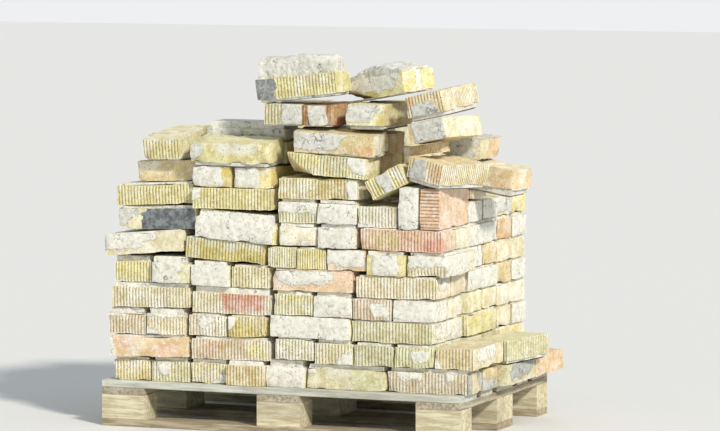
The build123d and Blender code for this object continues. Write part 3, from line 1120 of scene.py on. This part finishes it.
# %% Finish of the brick
relief = sums(m, "ADD", times(m, grain, 0.35), times(m, patchy, 0.9))
relief = sums(m, "ADD", relief, times(m, times(m, lime, covered), 1.2))
relief = sums(m, "SUBTRACT", relief, times(m, pits, 0.35))
relief = sums(m, "SUBTRACT", relief, times(m, times(m, cracks, covered), 0.5))
relief = sums(m, "ADD", relief, times(m, covered, 0.5))
set_shader(m, {
    "Base Color": blend_colours(m, covered, clay_dirt_and_shade, mortar),
    "Roughness": 0.92,
    "Specular IOR Level": 0.2,
    "Normal": bump(m, relief, 0.8, 0.0032),
})
print("nodes for the whole brick:", len(m.node_tree.nodes))

# %% [markdown]
# ## One piece for each course
#
# A course's copies are joined into one object, which then stands in for the
# course's solids. Faces meet softly below an angle and sharply above it, so
# ribs stay crisp.

# %% Joining courses
crisp_angle = math.radians(38)
pieces = []
for node, parts in placed_bricks.items():
    deselect()
    for part in parts:
        part.select_set(True)
    bpy.context.view_layer.objects.active = parts[0]
    if len(parts) > 1:
        bpy.ops.object.join()
    piece = bpy.context.view_layer.objects.active
    piece.name = node + "_dressed"
    piece.data.name = piece.name
    piece.data.materials.clear()
    piece.data.materials.append(old_brick)
    bpy.ops.object.shade_smooth_by_angle(angle=crisp_angle)
    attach(piece, "root")
    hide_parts(node)
    pieces.append(piece)
for pattern in (ribbed, smooth, inner, cake, lump):
    bpy.data.objects.remove(pattern)
triangles = sum(len(p.vertices) - 2 for piece in pieces for p in piece.data.polygons)
print("dressed pieces:", len(pieces), "triangles:", triangles)

# %% [markdown]
# ## Weathered timber
#
# The pallet's boards keep their solids. Pallet wood is cheap softwood left
# outdoors: silver-grey on top and browner below, with long darker grain lines
# and damp stains. The grain follows the board, so boards that run to the back
# have a material stretched the other way.

# %% Timber material
damp_stain, dark_fibre = (0.30, 0.25, 0.18), (0.16, 0.13, 0.09)


def timber(name, stretch, pale, dark):
    m = new_material(name)
    place = add_node(m, "Mapping", {"Vector": object_place(m), "Scale": stretch})
    along = place.outputs[0]
    grain_lines = noise_at(m, along, 90, 5, 0.6)
    fibre = noise_at(m, along, 400, 3, 0.6)
    stain = noise_at(m, along, 12, 3, 0.5)
    wood = blend_colours(m, remap(m, grain_lines, 0.36, 0.64), dark, pale)
    wood = blend_colours(m, remap(m, stain, 0.45, 0.7, 0, 0.45), wood, damp_stain)
    wood = blend_colours(m, remap(m, fibre, 0.30, 0.45, 0.5, 0), wood, dark_fibre)
    lines = sums(m, "ADD", times(m, grain_lines, 0.8), fibre)
    set_shader(m, {
        "Base Color": wood,
        "Roughness": 0.85,
        "Specular IOR Level": 0.25,
        "Normal": bump(m, lines, 0.6, 0.0015),
    })
    return m


timbers = {
    "stringer": timber("timber_across", (1, 0.08, 1), (0.55, 0.50, 0.38), (0.30, 0.25, 0.17)),
    "block": timber("timber_block", (0.12, 1, 1), (0.76, 0.70, 0.50), (0.52, 0.45, 0.28)),
    "bottom": timber("timber_low", (0.08, 1, 1), (0.52, 0.45, 0.31), (0.28, 0.22, 0.14)),
    "deck": timber("timber_along", (0.08, 1, 1), (0.68, 0.69, 0.61), (0.46, 0.47, 0.40)),
}
for node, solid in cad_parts.items():
    if "brick" in node:
        continue
    kind = next(kind for kind in timbers if kind in node)
    solid.data.materials.clear()
    solid.data.materials.append(timbers[kind])
print("kinds of timber:", len(timbers))

# %% [markdown]
# ## Floor, light and camera
#
# The set is plain: a pale floor, a soft sun from the right, the front and above,
# and even sky light. The camera stands far back and low, as the perspective
# shows.

# %% Floor
deselect()
bpy.ops.mesh.primitive_plane_add(size=60, location=(0, 0, 0))
floor = bpy.context.object
floor.name = "floor"
pale_floor = new_material("pale_floor")
set_shader(pale_floor, {"Base Color": (0.78, 0.77, 0.75), "Roughness": 0.9})
floor.data.materials.append(pale_floor)
print("floor:", round(floor.dimensions[0]), "m wide")

# %% Light
sky_colour, sky_strength = (0.86, 0.93, 1.0), 0.55
backdrop_colour = (0.86, 0.87, 0.88)
sun_direction = Vector((0.65, -0.50, 0.57))

world = bpy.data.worlds.new("studio")
bpy.context.scene.world = world
world.use_nodes = True
world.node_tree.nodes.clear()
light = add_node(world, "Background", {"Color": sky_colour, "Strength": sky_strength})
backdrop = add_node(world, "Background", {"Color": backdrop_colour, "Strength": 1.0})
path = add_node(world, "LightPath")
choose = add_node(world, "MixShader", {
    0: path.outputs["Is Camera Ray"], 1: light.outputs[0], 2: backdrop.outputs[0]})
add_node(world, "OutputWorld", {0: choose.outputs[0]})

sun = bpy.data.lights.new("sun", "SUN")
sun.energy = 3.1
sun.angle = math.radians(7)
sun.color = (1.0, 0.96, 0.88)
sun_object = bpy.data.objects.new("sun", sun)
link(sun_object)
sun_object.rotation_euler = sun_direction.to_track_quat("Z", "Y").to_euler()
print("sun at strength", round(sun.energy, 1))

# %% Camera
turn, rise, distance = math.radians(21.688), math.radians(4.647), 14.0
target = Vector((0.1129, 0, 0.6526))
view = Vector((math.sin(turn) * math.cos(rise), -math.cos(turn) * math.cos(rise), math.sin(rise)))
camera = bpy.data.cameras.new("camera")
camera.lens = 221.8
camera.sensor_width = 36
camera.clip_end = 200
camera_object = bpy.data.objects.new("camera", camera)
link(camera_object)
camera_object.location = target + view * distance
camera_object.rotation_euler = view.to_track_quat("Z", "Y").to_euler()
bpy.context.scene.camera = camera_object
bpy.context.scene.view_settings.view_transform = "Standard"
print("camera at", [round(v, 2) for v in camera_object.location])
